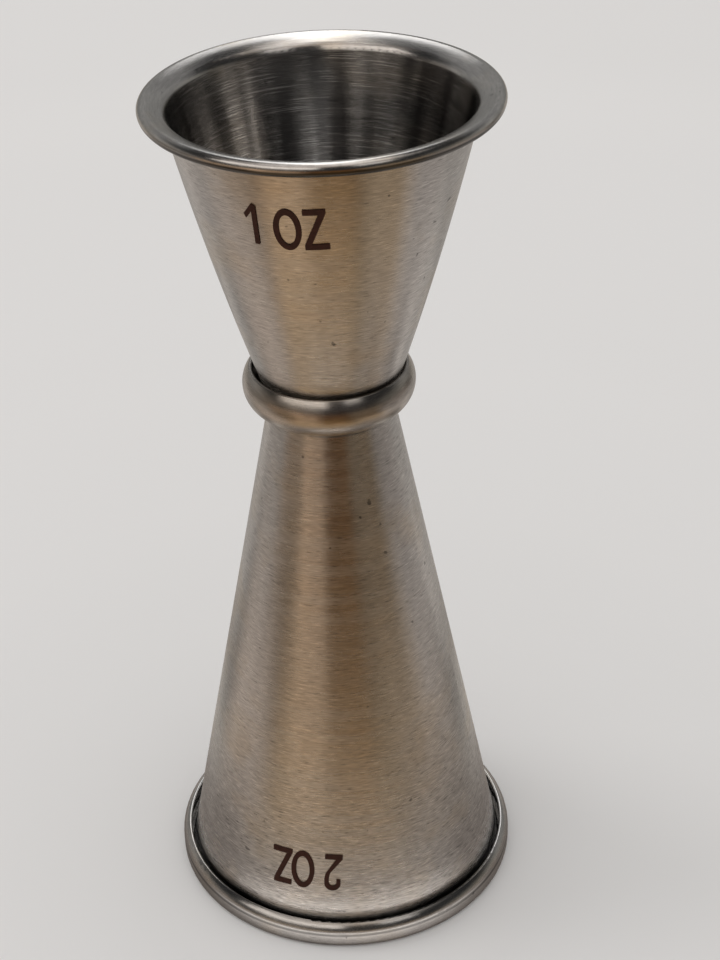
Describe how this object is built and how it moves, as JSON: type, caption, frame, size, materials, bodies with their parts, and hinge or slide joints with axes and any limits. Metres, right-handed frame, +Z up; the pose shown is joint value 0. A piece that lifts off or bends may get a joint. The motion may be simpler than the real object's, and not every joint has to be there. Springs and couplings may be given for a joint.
{
  "type": "bar jigger",
  "caption": "Double-ended conical measuring cup in brushed stainless steel, with rolled rims, a convex neck collar and a dark capacity mark on each cup.",
  "frame": {"origin": "centre of the ring that the large cup stands on", "axes": "+Z up along the common axis of the two cups, -Y towards the side with the capacity marks"},
  "size_m": [0.0514, 0.0514, 0.124],
  "materials": {
    "brushed_cup": "satin, brushed round the axis",
    "polished_collar": "half-polished",
    "weld": "as welded",
    "dark_mark": "matt dark oxide"
  },
  "bodies": {
    "root": {"lower_cup": "brushed_cup", "upper_cup": "brushed_cup", "collar": "polished_collar", "neck_weld": "weld", "one_oz_mark": "dark_mark", "two_oz_mark": "dark_mark"}
  },
  "joints": []
}
